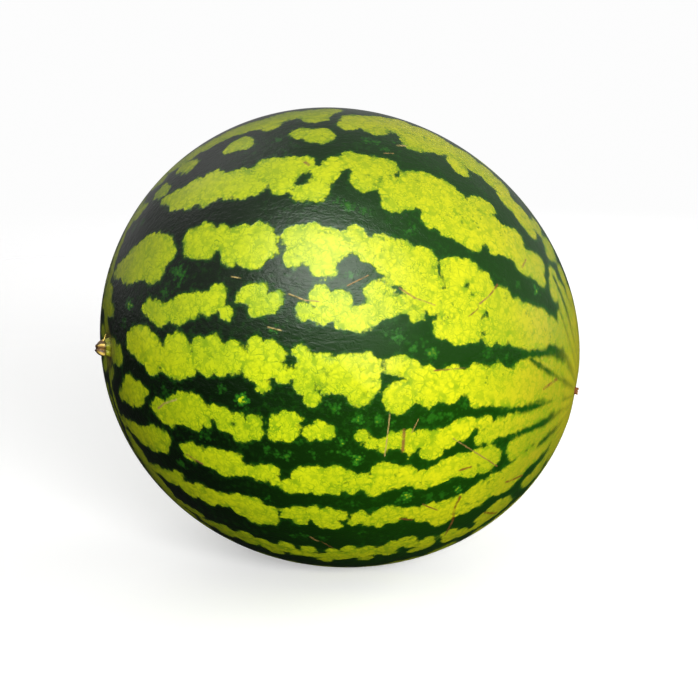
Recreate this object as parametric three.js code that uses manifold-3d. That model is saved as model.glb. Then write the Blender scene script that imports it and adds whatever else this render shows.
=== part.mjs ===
// A round watermelon lying on its side: the fruit, the dried stub of its stem and the withered
// remnant of its flower. Millimetres, +Z up. The origin is the middle of the flat spot that the
// fruit rests on, +X runs from the stem end towards the flower end.
import * as THREE from "three";
import { mergeVertices } from "three/addons/utils/BufferGeometryUtils.js";
import Module from "manifold-3d";

// Driving dimensions.
const LONG_RADIUS = 145; // half of the fruit's length
const ROUND_RADIUS = 136.5; // half of its width
const LEAN_DEG = 22.6; // how far the long axis dips towards the flower end
const SWELL = 1; // height of the soft swellings round the outline
const SWELLINGS = 3; // how many of them go round the outline
const SWELL_FADE = 1.5; // how quickly they fade towards the near and far sides
const SWELL_DEG = 140; // where the first of them lies, turning down from +X
const REST_HEIGHT = 135.1; // the fruit's middle above the flat spot
const REST_OFFSET = 5; // the flat spot's middle towards the flower end from the fruit's middle
const REST_BLEND = 2; // height over which the flat spot rounds into the skin
const FRUIT_RINGS = 46; // rings of points from end to end
const FRUIT_SIDES = 66; // points round each ring
const RING_CROWDING = 0.5; // share by which the rings draw together at the two ends
const TOUCH_GAP = 0.3; // air between pieces that touch

// The two ends of the fruit lie a little off its axis: tangents of the turn towards -Y and up.
const STEM_END = { near: 0.306, up: 0.026, dimpleDepth: 3.2, dimpleRadius: 21 };
const FLOWER_END = { near: 0.158, up: -0.19, dimpleDepth: 1.4, dimpleRadius: 12 };
const DIMPLE_FALL = 2; // how steeply a dimple's hollow closes at its radius

// Stem stub, measured out from the skin along the stem's own line.
const STUB_SIDES = 30;
const STUB_RIBS = 5;
const STUB_RIB_DEPTH = 0.09; // share of the radius
const STUB_PROFILE = [
  [6.6, -3.5],
  [6.2, -1],
  [5.1, 0.7],
  [4.5, 2.2],
  [4.4, 4],
  [4.1, 5.8],
  [3.2, 7.4],
  [1.6, 8.5],
]; // [radius, distance out from the skin]
const STUB_DROOP = 0.06; // the dried stub bends down by this tangent

// Withered flower remnant: plain round.
const NUB_SIDES = 20;
const NUB_PROFILE = [
  [2.9, -1.6],
  [2.8, 0],
  [2.2, 1],
  [1.3, 1.9],
  [0.8, 2.6],
];

// Plain looks of the three pieces.
const RIND_LOOK = { color: 0x5c8a24, roughness: 0.4 };
const STUB_LOOK = { color: 0xa8853f, roughness: 0.8 };
const NUB_LOOK = { color: 0x4a2718, roughness: 0.85 };

const MERGE_DISTANCE = 1e-4; // points closer than this become one point of a solid

const radians = THREE.MathUtils.degToRad;
const leanSin = Math.sin(radians(LEAN_DEG));
const leanCos = Math.cos(radians(LEAN_DEG));
const centre = new THREE.Vector3(-REST_OFFSET, 0, REST_HEIGHT);

// The way out to the skin: 'along' turns from the stem end (0) to the flower end (pi), 'around'
// turns up from the near side, and each end pulls the rings next to it over by the square of
// the cosine.
function wayOut(along, around) {
  const c = Math.cos(along);
  const s = Math.sin(along);
  const way = new THREE.Vector3(-c, -s * Math.cos(around), s * Math.sin(around));
  const stemPull = Math.max(c, 0) ** 2;
  const flowerPull = Math.max(-c, 0) ** 2;
  way.y -= stemPull * STEM_END.near + flowerPull * FLOWER_END.near;
  way.z += stemPull * STEM_END.up + flowerPull * FLOWER_END.up;
  return way.normalize();
}

// A bell-shaped hollow round an end, by the straight distance from that end.
function hollow(along, end, endAngle) {
  const share = (Math.abs(along - endAngle) * ROUND_RADIUS) / end.dimpleRadius;
  return end.dimpleDepth * Math.exp(-DIMPLE_FALL * share * share);
}

// The skin: a leaning ellipsoid with soft swellings round its outline and a hollow at
// each end, rounded off flat where it rests.
function skinPoint(along, around, extra = 0) {
  const way = wayOut(along, around);
  const long = (way.x * leanCos - way.z * leanSin) / LONG_RADIUS;
  const deep = way.y / ROUND_RADIUS;
  const high = (way.x * leanSin + way.z * leanCos) / ROUND_RADIUS;
  let radius = 1 / Math.hypot(long, deep, high);
  const turn = Math.atan2(-way.z, way.x) - radians(SWELL_DEG);
  radius += SWELL * (1 - way.y * way.y) ** SWELL_FADE * Math.cos(SWELLINGS * turn);
  radius -= hollow(along, STEM_END, 0) + hollow(along, FLOWER_END, Math.PI);
  const point = way.multiplyScalar(radius + extra).add(centre);
  const share = point.z / REST_BLEND;
  if (share < 1) point.z = share < 0 ? 0 : REST_BLEND * share * share * (2 - share);
  return point;
}

// Angle along the fruit of one ring: the rings draw together towards the two ends.
function ringAngle(ring, rings) {
  const share = ring / rings;
  return Math.PI * share - (RING_CROWDING / 2) * Math.sin(2 * Math.PI * share);
}

// A closed surface from rings of points, with one point at each end.
function closedRings(first, rings, last) {
  const sides = rings[0].length;
  const points = [first, ...rings.flat(), last];
  const index = [];
  const at = (ring, side) => 1 + ring * sides + (side % sides);
  for (let side = 0; side < sides; side++) {
    index.push(0, at(0, side), at(0, side + 1));
    for (let ring = 0; ring + 1 < rings.length; ring++) {
      index.push(at(ring, side), at(ring + 1, side), at(ring + 1, side + 1));
      index.push(at(ring, side), at(ring + 1, side + 1), at(ring, side + 1));
    }
    index.push(at(rings.length - 1, side + 1), at(rings.length - 1, side), points.length - 1);
  }
  const geometry = new THREE.BufferGeometry().setFromPoints(points);
  geometry.setIndex(index);
  return geometry;
}

function fruitGeometry(extra = 0) {
  const rings = [];
  for (let ring = 1; ring < FRUIT_RINGS; ring++) {
    const along = ringAngle(ring, FRUIT_RINGS);
    const points = [];
    for (let side = 0; side < FRUIT_SIDES; side++)
      points.push(skinPoint(along, (2 * Math.PI * side) / FRUIT_SIDES, extra));
    rings.push(points);
  }
  return closedRings(skinPoint(0, 0, extra), rings, skinPoint(Math.PI, 0, extra));
}

// A turned profile that stands on the skin at one end of the fruit and droops as it goes out.
function standingGeometry(foot, out, profile, sides, ribs = 0, ribDepth = 0, droop = 0) {
  const across = new THREE.Vector3(0, 1, 0).cross(out).normalize();
  const other = across.clone().cross(out);
  const middle = (height) =>
    foot
      .clone()
      .addScaledVector(out, height)
      .addScaledVector(new THREE.Vector3(0, 0, -1), droop * Math.max(height, 0));
  const rings = profile.map(([radius, height]) => {
    const points = [];
    for (let side = 0; side < sides; side++) {
      const turn = (2 * Math.PI * side) / sides;
      const size = radius * (1 + ribDepth * Math.cos(ribs * turn));
      points.push(
        middle(height)
          .addScaledVector(across, size * Math.cos(turn))
          .addScaledVector(other, size * Math.sin(turn)),
      );
    }
    return points;
  });
  return closedRings(middle(profile[0][1]), rings, middle(profile.at(-1)[1]));
}

const wasm = await Module();
wasm.setup();

function toSolid(geometry) {
  const bare = geometry.clone();
  bare.deleteAttribute("normal");
  bare.deleteAttribute("uv");
  const merged = mergeVertices(bare, MERGE_DISTANCE);
  return new wasm.Manifold(
    new wasm.Mesh({
      numProp: 3,
      vertProperties: merged.attributes.position.array,
      triVerts: new Uint32Array(merged.index.array),
    }),
  );
}

function toGeometry(solid) {
  const mesh = solid.getMesh();
  const geometry = new THREE.BufferGeometry();
  geometry.setAttribute("position", new THREE.BufferAttribute(mesh.vertProperties, 3));
  geometry.setIndex(new THREE.BufferAttribute(mesh.triVerts, 1));
  return geometry;
}

const group = new THREE.Group();

function addMesh(name, geometry, look) {
  geometry.computeVertexNormals();
  const material = new THREE.MeshStandardMaterial({ ...look, metalness: 0 });
  const mesh = new THREE.Mesh(geometry, material);
  mesh.name = name;
  group.add(mesh);
}

const skinAndGap = toSolid(fruitGeometry(TOUCH_GAP));

addMesh("fruit", fruitGeometry(), RIND_LOOK);

const stemFoot = skinPoint(0, 0, TOUCH_GAP);
const stub = standingGeometry(
  stemFoot,
  wayOut(0, 0),
  STUB_PROFILE,
  STUB_SIDES,
  STUB_RIBS,
  STUB_RIB_DEPTH,
  STUB_DROOP,
);
addMesh("stem_stub", toGeometry(toSolid(stub).subtract(skinAndGap)), STUB_LOOK);

const flowerFoot = skinPoint(Math.PI, 0, TOUCH_GAP);
const nub = standingGeometry(flowerFoot, wayOut(Math.PI, 0), NUB_PROFILE, NUB_SIDES);
addMesh("blossom_nub", toGeometry(toSolid(nub).subtract(skinAndGap)), NUB_LOOK);

export default group;
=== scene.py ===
"""A round striped watermelon lying on its side, with its stem stub and flower remnant.

Metres, +Z up. The origin is the middle of the flat spot that the fruit rests on, and +X runs
from the stem end towards the flower end. Places on the rind are given by two angles: along,
from 0 at the stem to 180 degrees at the flower, and around, from 0 facing -Y and up to 90 on
top.
"""

import bpy
import numpy as np
from bpy.props import FloatProperty, FloatVectorProperty, IntProperty, PointerProperty
from bpy.types import Operator, Panel, PropertyGroup
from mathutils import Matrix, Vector


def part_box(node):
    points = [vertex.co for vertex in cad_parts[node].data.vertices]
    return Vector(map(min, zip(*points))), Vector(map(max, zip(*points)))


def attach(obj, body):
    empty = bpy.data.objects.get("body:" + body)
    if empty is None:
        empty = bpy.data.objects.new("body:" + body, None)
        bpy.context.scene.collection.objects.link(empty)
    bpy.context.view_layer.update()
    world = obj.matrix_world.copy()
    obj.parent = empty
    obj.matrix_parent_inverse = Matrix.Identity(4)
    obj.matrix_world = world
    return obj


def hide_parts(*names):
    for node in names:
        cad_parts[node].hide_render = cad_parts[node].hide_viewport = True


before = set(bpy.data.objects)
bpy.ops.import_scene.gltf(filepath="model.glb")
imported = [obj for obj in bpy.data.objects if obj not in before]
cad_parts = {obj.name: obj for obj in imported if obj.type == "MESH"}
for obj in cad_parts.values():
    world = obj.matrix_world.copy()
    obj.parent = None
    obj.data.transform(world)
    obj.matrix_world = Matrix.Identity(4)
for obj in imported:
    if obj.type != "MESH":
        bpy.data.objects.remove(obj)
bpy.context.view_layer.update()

FRUIT_LOW, FRUIT_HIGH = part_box("fruit")

bl_info = {
    "name": "Striped Watermelon",
    "version": (1, 0, 0),
    "blender": (4, 5, 0),
    "location": "3D View > Sidebar > Watermelon",
    "description": "Builds a round striped watermelon with its stem stub and flower remnant",
    "category": "Add Mesh",
}

MM = 0.001
MM_PER_DEGREE = 2.42  # length on the rind of one degree seen from the middle
TAU = 2 * np.pi

# Each end lies a little off the fruit's axis, in a bell-shaped hollow: how far it is pulled
# towards -Y and up, and the hollow's depth and radius.
STEM_END = {"near": 0.306, "up": 0.026, "depth": 3.2 * MM, "radius": 21 * MM}
FLOWER_END = {"near": 0.158, "up": -0.19, "depth": 1.4 * MM, "radius": 12 * MM}
HOLLOW_FALL = 2  # how steeply a hollow closes at its radius

SWELLINGS = 3  # soft swellings round the outline
SWELL_FADE = 1.5  # how quickly they fade towards the near and far sides
SWELL_TURN = np.radians(140)  # where the first of them lies, turning down from +X
REST_BLEND = 2 * MM  # height over which the flat spot rounds into the skin
RING_CROWDING = 0.35  # share by which the rings draw together at the two ends

LIGHT_BLEND = 0.32  # softness of the joins between light lobes, in degrees
GAP_BLEND = 0.25  # softness of the joins between dark gaps, in degrees
LIGHT_INSET = 0.15  # how far the light patches are drawn in, in degrees
GAP_INSET = 0.25  # how far the dark gaps are drawn in, in degrees
EDGE_SHIFT = 0.35  # mm by which the finished patches grow again
LOBES_AT_ONCE = 64  # lobes worked out together, to save memory
LOBE_REACH = 25  # degrees outside a lobe past which it no longer counts

NARROW_START = 146  # where the near lobes begin to narrow towards the flower, in degrees
NARROW_RUN = 34  # degrees over which they would shrink to nothing
NARROWEST = 0.62  # the share of their radius that they keep

RAY_START = 160  # where the rows turn into plain rays at the flower end, in degrees
RAY_END = 177
RAY_STEP = 1.5
RAY_RADIUS = 4.4  # radius of a ray's lobes where the fruit is widest, in degrees
STRIPE_STEP = 0.6  # degrees between the lobes of a dark stripe

# Rows of the far side, counted on round the fruit from the lowest near row, in degrees.
FAR_ROWS = 13
FIRST_FAR_ROW = -71
FAR_ROW_STEP = 15.5
FAR_ROW_END = 164  # where they stop along the fruit
FAR_ROW_SEED = 11
FAR_ISLET_SEED = 12
FAR_ISLETS = 7  # islets beside each row

SPECK_GREEN = (0.06, 0.15, 0.004)
# Ripe yellow round the flower remnant, lifted as painted light for the bright rim at the flower end.
DISK_YELLOW_AND_RIM_LIGHT = (0.44, 0.385, 0.01)
STREAK_GREEN = (0.15, 0.21, 0.008)
STEM_BROWN = (0.12, 0.075, 0.012)
HEALED_BROWN = (0.13, 0.033, 0.005)
HEALED_PALE = (0.5, 0.42, 0.14)
# Gold of the stub's pale ridges and loose fibre, brightened so that it also stands in as a painted
# highlight.
RIDGE_GOLD_AND_HIGHLIGHT = (0.85, 0.6, 0.13)
FRESH_GREEN = (0.2, 0.22, 0.008)
FRESH_YELLOW = (0.36, 0.37, 0.02)
REMNANT_BROWN = (0.16, 0.06, 0.02)
REMNANT_PALE = (0.26, 0.12, 0.04)

# The stem stub and the flower remnant as (radius, distance out from the skin) in mm.
STUB_PROFILE = [
    (6.9, -1.6), (6.3, -0.4), (5.3, 0.6), (4.7, 1.7), (4.3, 2.9), (4.5, 4.1),
    (4.3, 5.4), (3.7, 6.6), (2.8, 7.6), (1.8, 8.1), (0.9, 7.9), (0.3, 7.5),
]
REMNANT_PROFILE = [
    (2.9, -0.8), (2.8, 0.2), (2.1, 0.9), (1.7, 1.5), (1.9, 2.1), (1.6, 2.5), (0.7, 1.9),
]
STUB_WAIST = 0.0039  # radius that the stub's profile is drawn for
STUB_TALL = 0.0087  # height that the stub's profile is drawn for
REMNANT_FOOT = 0.0028  # radius that the remnant's profile is drawn for
END_RIBS = 5  # ribs round the stub and lobes round the remnant
RIB_TWIST = 3  # radians that the ribs turn by over TWIST_LENGTH
TWIST_LENGTH = 0.009
STUB_DROOP = 0.06
STUB_RINGS = 56
STUB_SIDES = 80
STUB_SEED = 5
STUB_TORN_RING = 40  # the rings past this one are torn
# The pale ridges also carry the stub's painted highlight.
STUB_RIDGE_RINGS = 44  # how many rings the pale ridges run over
# Darkness ring by ring up the stub: painted shade in the grooves where its foot meets the skin and
# at its waist, and the dark colour of its broken end.
GROOVE_SHADE_AND_END_RINGS = [0, 6, 10, 18, 21, 25, 34, 41, 47]
GROOVE_SHADE_AND_END_DARKNESS = [0.9, 0.8, 0.1, 0.1, 0.95, 0.1, 0, 0.6, 1]
FRESH_RINGS = [20, 24]  # the fresh green foot ends between these two
REMNANT_RINGS = 34
REMNANT_SIDES = 60

FLOOR_RADIUS = 6
FLOOR_RINGS = 24
FLOOR_SIDES = 96
FLOOR_BOUNCE = 0.03  # share of the floor's colour that lights the fruit from below
FLOOR_GLOW = 0.3  # how much the floor shines towards the camera
WORLD_LIGHT = 0.35  # strength of the even light on the fruit
WORLD_SEEN = 0.98  # strength of the background
CAMERA_LENS = 102.67  # mm
CAMERA_ASIDE = 0.00597  # how far the camera looks past the fruit's middle, right and down

# Light patches of the rind as (along, around, radius) lobes in degrees, row by row from the top.
PATCHES = {
    "stem_end": [
        (3, 8, 2.4), (8, 6, 3.2), (13, 2, 2.5), (6, 100, 2.4), (10, 95, 3.2), (13, 90, 3),
        (11, 72, 2.2), (12, 60, 1.2), (8, -35, 1.2), (7.5, -50, 1.4), (7, -65, 1.7),
        (6, 150, 2), (7, 190, 2), (6, 230, 2.2),
    ],
    "crown": [
        (31, 100, 3), (34, 93, 2.6), (36, 89, 1.5), (42, 99, 3), (43, 94, 2),
        (42, 84, 2.4), (43, 80, 2.2), (50, 84, 2.6), (52, 80, 2.6),
        (49, 93, 3.6), (53, 90, 3.8), (58, 87, 3.6), (63, 86, 4), (68, 84, 4.4), (73, 82, 4.6),
        (73.5, 77.5, 2.6), (78, 84, 4.6), (84, 83, 5), (84.5, 78.5, 3.4), (88, 86, 3.2),
        (66, 74, 3.2), (68, 71.5, 2.2), (63.5, 73.5, 2), (81.5, 69.8, 2.9), (85.5, 68, 3.9),
    ],
    "shoulder": [
        (92.5, 74, 3), (95, 78, 4.8), (98.5, 74, 3.6), (101, 81, 5), (106, 80, 6), (109, 74, 4.6),
        (108, 70.5, 2.6), (112, 84, 5.5), (113, 76, 4), (118, 81, 5.5), (118.5, 73, 2.8),
        (120, 70.5, 2.4), (123, 80, 5), (129, 80.5, 5), (133, 76, 4), (137, 76, 4.6),
        (139.5, 73.5, 3.2), (105, 86, 3), (122, 86, 3), (127, 85.5, 3), (131, 84, 3),
        (142, 82, 2.6), (142, 87, 2), (147, 82, 3.6), (147, 87, 2.4), (147, 75.5, 1.8),
        (153, 83, 3.8), (157, 82, 4), (158, 88, 3), (162, 85, 4),
    ],
    "upper": [
        (43.5, 73.5, 1.5), (46, 70, 2.6), (48.5, 66, 3.6), (53, 64, 4.2), (52, 60.5, 2.8),
        (58, 62.5, 4), (57, 57.5, 3), (62, 58.5, 4), (63, 54.5, 2), (66, 57, 4.2),
        (67, 53, 2.6), (70, 54, 3.6), (74, 57.5, 4.2), (77.5, 56, 4.6), (77, 51.5, 3.3),
        (82, 56.8, 3), (82, 47.5, 2.7), (85, 48, 3.4), (87, 53, 3.3), (89, 56, 2.9),
        (93, 58, 3.2), (97, 56, 4.6), (96, 51.5, 3.4), (101, 57.8, 3.2),
        (102, 51, 3.4), (102.5, 46.3, 2.8), (105.5, 49.5, 4.2), (108, 54.5, 4.6),
        (111, 58, 3), (113, 51.5, 5.6), (115.5, 57.5, 3.6), (112, 45.5, 3), (115.5, 45, 3),
        (119, 46.5, 4.2), (118, 55, 4.2), (123, 54, 4.2), (123, 45, 2.9), (124.5, 49.5, 3.4),
        (124.5, 59.5, 3), (127, 61.5, 2.4), (128, 54, 4.6), (128.5, 47.5, 2.3), (133, 54, 4.9),
        (135.5, 59.5, 2.6), (138, 53, 4.2), (141.5, 55.5, 4), (143.5, 60, 2.8), (144.5, 54, 2.2),
    ],
    "upper_flower": [
        (149.5, 67, 2.6), (150, 62, 2.8), (154, 66, 4.4), (150.5, 57.5, 2.6), (155, 60, 3.4),
        (158, 68, 4.2), (160, 62, 3.6), (162, 74, 4), (155, 50, 2.8), (157, 54, 3), (159, 48, 3),
        (161, 55, 3),
    ],
    "left_sweep": [
        (19, 87, 1.2), (20.5, 80, 2), (22.5, 73, 2.7), (24, 66, 3.2), (27, 66, 3.6),
        (27, 60, 4.2), (32, 60, 4.2), (31.5, 54, 4.2), (36, 56, 4.4), (36, 49, 4.6),
        (40, 51, 4), (36.5, 45, 3.6), (38.5, 42.8, 2.2), (40, 46, 2.8), (43.5, 47.5, 2.2),
        (44.5, 45.2, 1.5),
    ],
    "middle_left": [
        (52, 46, 2.5), (53, 42.5, 3.3), (56, 45, 2.7), (57, 42, 3.4), (57, 38.8, 2.4),
        (61.5, 42.3, 2), (63, 38.8, 3), (63.8, 34.3, 2.5), (67, 38.5, 3.6), (68, 34, 3.2),
        (71.5, 37.8, 3.7), (70.5, 32.5, 3), (73, 34.5, 3), (75, 33, 1.2),
    ],
    "middle": [
        (80, 36, 3.1), (79.8, 30.8, 2.5), (84, 36, 3.3), (83.5, 32, 3.4), (88, 34.5, 3.6),
        (86.5, 29.5, 3.7), (87.8, 27.4, 2), (90, 32.5, 2.6), (94, 36.2, 2.6), (95.5, 33.3, 2.8),
        (97, 31.3, 1.9), (100, 34, 3.4), (101, 30, 3.2), (104.5, 33, 3.7), (104, 27.8, 3.6),
        (109.5, 33, 3.7), (108, 28, 4), (112, 27.5, 3), (111.5, 31.5, 2.4),
        (82.5, 18, 2.3), (86, 21.5, 2.7), (86.5, 17.3, 2.6), (90.5, 19.7, 3.2), (91.5, 16.4, 2.7),
        (95, 16.3, 3.2), (97.5, 17.5, 2.6), (98.7, 22.3, 3), (101, 19.8, 3.2), (100.5, 23, 2.3),
        (105.8, 21.2, 2.7), (108, 18.8, 1.9), (109, 22.8, 3), (113, 23, 3), (116, 23, 3),
        (117, 26, 2.6),
    ],
    "middle_right": [
        (117.5, 33.3, 3.4), (118, 29.8, 3), (121.7, 35, 3.2), (125.5, 33, 3.5), (120, 26, 3.2),
        (124, 26.8, 3.2), (122, 21.5, 3.6), (115, 17, 2.7), (119, 17.2, 3.2), (122.7, 17.8, 2.7),
        (128.5, 30, 3.4), (126.6, 21.4, 2), (129, 19.5, 2.2), (128.3, 17.8, 1.8), (131.5, 31.5, 3.6),
        (131.5, 25.5, 4), (132, 21, 2.8), (136.5, 29.5, 4.4), (137.5, 24, 3.6), (141.5, 31.5, 4.2),
        (142.5, 25.8, 3.6), (146.5, 34, 4.2), (147.3, 29, 3), (151.5, 37, 4), (155.5, 39.5, 4),
        (156, 44, 3), (159, 43, 3.4), (162, 46, 3), (149.5, 19.5, 2.2), (153, 20.5, 3),
        (157, 21.5, 2.8), (161, 27, 2),
    ],
    "lower_middle_left": [
        (31.5, 30, 1.5), (33.2, 29.5, 2), (35.5, 27, 2.5), (37.8, 24.5, 2.8), (39.6, 22.4, 2.2),
        (42.5, 24, 2.2), (45, 22.8, 2.4), (47.6, 23.2, 3.6), (50, 24.8, 2.3), (53.5, 24, 2.5),
        (52.3, 21.5, 1.6), (57, 22.9, 3), (60, 24.8, 2.4), (60.8, 22.4, 1.5), (62.6, 19.1, 1.9),
        (67, 22.8, 1.6), (69.5, 23.5, 2.4), (72, 24, 1.9), (71, 19.8, 2.5), (74, 20, 2.4),
        (76, 21.4, 1.8),
    ],
    "belly": [
        (20.8, 15.5, 1.3), (22, 19, 1.6), (22.5, 13.5, 2.3), (25, 19.5, 2), (25.5, 13, 3.2),
        (27.5, 8.5, 2.8), (29, 15, 3.6), (32, 11.5, 3.4), (32.5, 6.5, 3), (34.2, 12.5, 1.9),
        (33.5, 1.5, 2.5), (37.2, 7, 2.7), (40, 5, 3.1), (41.5, 2.8, 2.2), (43.2, 11, 2.7),
        (46, 11, 3), (45.5, 5, 4.2), (48.5, 8.5, 2.2), (49.5, 4, 2.5),
        (53.4, 11, 2.1), (54.5, 7, 3), (56.5, 4.7, 2.5), (58.5, 10.5, 2.7), (60.5, 6, 3.5),
        (64.2, 9.6, 2.2), (64.5, 6, 2.7), (67, 7.5, 1.9),
        (70.8, 10.2, 2.4), (74, 9.2, 2.6), (76.3, 8.3, 2), (70, 5, 3.2), (74, 5, 3),
        (77.3, 3.2, 2.1), (72.5, 0.6, 1.8), (79, 3.8, 1.2),
        (81.7, 8.8, 2), (83, 6, 2.5), (82.5, 1.8, 2.9), (84.2, -1.9, 2.1), (86.5, 5.8, 2.9),
        (88.5, 3, 3.8), (91.5, 5.6, 3.3), (93, 1.5, 3), (96, 5.6, 3.4), (96.5, 1, 3.2),
        (94.8, -1.6, 2.4), (98.3, 5.2, 1.9),
        (102.8, 6.2, 2.4), (105, 6.5, 2.4), (107.4, 6, 2.2), (104, -1.3, 3.9), (107, 0.5, 2.4),
        (108.5, 2.8, 2.6), (111, 4.2, 2.7), (111.5, 0, 3.3), (115, 2.2, 3.7), (117.5, 4.8, 2.9),
        (117.3, 0.5, 2.6),
        (121.5, 4.4, 2.9), (125, 4.4, 4.3), (125.5, -0.3, 2.5), (129, 3.2, 4.5), (131, 6.8, 3.5),
        (134, 3.8, 4.8), (139, 4, 4.6), (140.5, 9, 4), (144.5, 8, 5), (144.5, 12, 3.8),
        (149, 9.5, 4.6), (154, 8.5, 4.5), (154, 3, 2), (158, 12, 4), (158, 5, 3),
    ],
    "under_belly": [
        (34.6, -18.2, 1.6), (37, -16.5, 2.4), (38.5, -18.5, 2.4), (41.5, -17.3, 2.9),
        (44, -13.8, 3.4), (46.5, -10, 2.9), (48.5, -12.5, 3.8), (50.7, -9.6, 3.6),
        (53.8, -8.8, 2), (51.3, -14.7, 2.2), (55.5, -12.6, 1.7),
        (58.6, -8.8, 1.9), (61, -9.6, 2.8), (61.2, -12, 2), (66, -9.6, 1.9), (66.8, -12.7, 2.9),
        (70, -9.4, 2.2), (70, -12.3, 2),
        (75.4, -8.6, 1.9), (78, -7.6, 2.5), (80, -7, 1.7), (75.4, -11.3, 1.9), (78.6, -10.8, 2.4),
        (83.6, -10.6, 1.9), (86.2, -9.6, 2.6), (88, -9.8, 1.6),
        (95.4, -10.9, 1.9), (97.8, -12.8, 1.6), (100.3, -13.4, 1.8), (102.5, -12.3, 2.3),
        (106, -12.2, 2.9), (107, -14.4, 1.9), (110, -11.9, 2.6), (112.5, -15.2, 3),
        (115, -12.2, 2.9), (118, -11.2, 2.8), (121, -9.4, 2.9), (123.5, -8, 1.7),
        (127.5, -8.3, 2.1), (126.2, -12.8, 1.9), (130, -12, 2.6), (132.5, -9.5, 2.2),
        (134.5, -11, 2.2), (137.5, -8.7, 2.9), (141, -8.8, 2.8), (145, -7.7, 3.2),
        (149, -6.3, 3), (153.5, -4.5, 3), (157.5, -2, 3), (161, 0, 3),
    ],
    "low_row": [
        (47.6, -27.6, 1.6), (49.4, -29.3, 1.6), (51, -26, 2.6), (54, -26, 2.6), (57.5, -23.5, 2.3),
        (57.5, -26.3, 2), (61, -24, 3.5), (61, -27.3, 2), (64.3, -21.5, 2.3), (65, -24.8, 2.4),
        (68.6, -24, 2.1), (71.5, -23.4, 2.6), (74.6, -21.8, 1.9), (75, -25, 2), (78.7, -25.6, 2.5),
        (81.3, -21.6, 2.1), (82, -25, 2.4), (84.5, -21.8, 3.2), (86, -25, 2.4), (89, -21.6, 3.3),
        (89.4, -25.6, 1.8), (92, -21.4, 2), (93, -24.8, 2.2), (95.5, -23, 2.6), (98.2, -25.9, 2),
        (100, -20.2, 2.6), (101.8, -20.4, 2.3), (100.5, -24, 2.7), (104, -24, 2), (106, -21, 2.1),
        (107, -23.4, 2.1), (110, -24, 2.9), (113.5, -23.3, 3.2), (117, -21.8, 3.4),
        (121, -21, 3.4), (124, -24, 2.3), (125.5, -21, 3.6), (129, -21.6, 3.8), (131, -21.5, 2.8),
        (138.6, -19.4, 2.2), (139.8, -22.6, 2.2), (142, -18.4, 2.6), (144, -21, 2.5),
        (146.5, -17.5, 2.9), (148.5, -20, 2.9), (151, -18.7, 2.6), (153, -21.7, 3),
        (155.5, -19, 3), (158.5, -16, 2.6), (161.5, -12.5, 2.6),
    ],
    "stem_low": [
        (29, -14, 1.4), (26.5, -14.5, 1.8), (25, -18, 3), (21, -18, 2.8), (24, -22, 2.7),
        (20, -23, 2.9), (21, -28, 2.4), (17.8, -29, 2), (17.6, -34, 1.9), (16, -39, 1.3),
        (15.2, -43, 0.8),
        (40.2, -29, 1.5), (38, -31.5, 2.5), (37.5, -35, 2.7), (34.5, -34, 2.8), (33, -38, 3.1),
        (33.5, -41.5, 2.6), (30.5, -42, 3), (28, -46.5, 2.9), (25.5, -50, 2.5), (23.3, -54, 2.1),
        (21.3, -58, 1.5), (19.5, -62, 0.9),
    ],
    "keel": [
        (45.4, -43.6, 1.6), (44.8, -47, 2.3), (42, -50, 2.6), (40.5, -53.5, 2.3), (38, -55, 1.9),
        (36, -59, 1.6), (34, -62, 1.2), (48.6, -47.8, 2.6), (50.6, -44.7, 2.3),
        (52.8, -41.4, 2), (53, -45, 1.8), (55.6, -44.7, 2.2), (57, -41.2, 2.9), (60, -40, 2.5),
        (62.5, -38.7, 2.6), (65.5, -37.5, 3.4), (65, -40.7, 2.2), (69.5, -37, 3.7),
        (70, -41, 3.1), (73.5, -36, 2.2), (73, -39.5, 2.8),
        (78, -35.6, 1.9), (80.8, -34.5, 2.5), (80.8, -37.7, 1.7), (84.5, -33.8, 2.7),
        (87, -36.2, 3), (88, -33.6, 2.3), (89.6, -37.8, 1.7), (90.6, -34, 1.9),
        (93.8, -36.2, 1.7), (95.2, -34.3, 1.9), (97, -36.5, 1.7), (100, -34.3, 2.5),
        (99.5, -37.2, 2), (102.7, -34, 2.6), (103, -36.5, 1.7), (106.5, -34.6, 2),
        (109, -36, 2.2), (110.5, -38, 1.9), (112.5, -35, 2.4), (114.6, -38.5, 3.3),
        (115.6, -42, 2.2), (117.5, -36, 3), (118.8, -39.8, 2.8), (122, -36.5, 3.4),
        (123, -39.8, 2.5), (127, -34.8, 3.8), (127.5, -38.6, 2.8), (131.5, -34, 4),
        (136, -34.5, 4.2), (135, -38.5, 2.4), (138.5, -39, 2.7), (141, -33.3, 4),
        (142.5, -37, 2.4), (143, -29, 2.5), (146.5, -31, 3.5), (150, -28, 2.6), (151, -32, 3.2),
        (155, -29, 3.6), (159.5, -28, 3.6), (156, -34, 2),
    ],
    "bottom": [
        (46, -65.5, 1.4), (49, -63.5, 1.9), (52, -61, 2), (54.5, -63.5, 1.9), (57.5, -60.5, 2.4),
        (60.5, -57.8, 2.5), (60.5, -62, 2.2), (64, -57.5, 2.3), (66.5, -54.5, 2.4),
        (67.5, -58.2, 2.4), (71, -54, 2.3), (72, -57, 1.8), (74.6, -58.6, 2.3),
        (75, -54.8, 2.3), (77.3, -51.2, 2), (79.5, -55, 2.4), (82.8, -51, 2.1), (83.3, -54.6, 2.3),
        (86.6, -54.2, 2.2), (86.8, -57.8, 2), (88.6, -51, 2), (90.6, -54, 2.9), (92.6, -49.4, 2.2),
        (95, -52.5, 3.4), (96.5, -56.2, 1.9), (97, -49.6, 1.9), (100, -51.5, 2.7),
        (102.5, -54, 1.9), (103.3, -49.6, 2.7), (106.6, -48.4, 2.6), (108, -51.5, 2.1),
        (109, -56, 2), (111.7, -54.5, 2.6), (112.4, -51, 2),
        (118.3, -51.6, 2.2), (118.4, -56.3, 2.4), (121.6, -54.8, 2.3), (123, -58, 2.2),
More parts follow.
